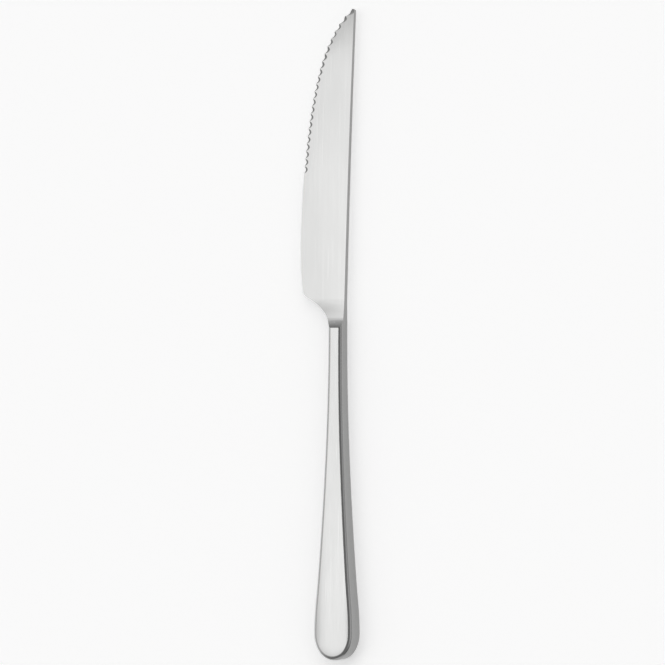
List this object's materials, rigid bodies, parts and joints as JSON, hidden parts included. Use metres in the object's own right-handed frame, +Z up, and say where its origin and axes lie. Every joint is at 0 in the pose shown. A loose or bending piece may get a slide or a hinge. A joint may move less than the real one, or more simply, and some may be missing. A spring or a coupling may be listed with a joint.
{
  "type": "steak knife",
  "caption": "All-steel steak knife: a pointed blade with a scalloped edge and a flared bolster, on a slim hollow handle that widens to a rounded butt",
  "frame": {"origin": "bottom centre of the box round the knife, which lies on the back of its handle", "axes": "+X from the handle's butt to the blade's point, +Y towards the cutting edge, +Z up out of the face that the scallops are ground into"},
  "size_m": [0.2342, 0.0236, 0.0071],
  "materials": {
    "blade_steel": "fine satin, ground faces",
    "handle_steel": "smooth satin, softly polished",
    "cement": "dull, hardened cement, out of sight"
  },
  "bodies": {
    "root": {"blade": "blade_steel", "handle_front_shell": "handle_steel", "handle_back_shell": "handle_steel", "handle_filler": "cement"}
  },
  "joints": []
}
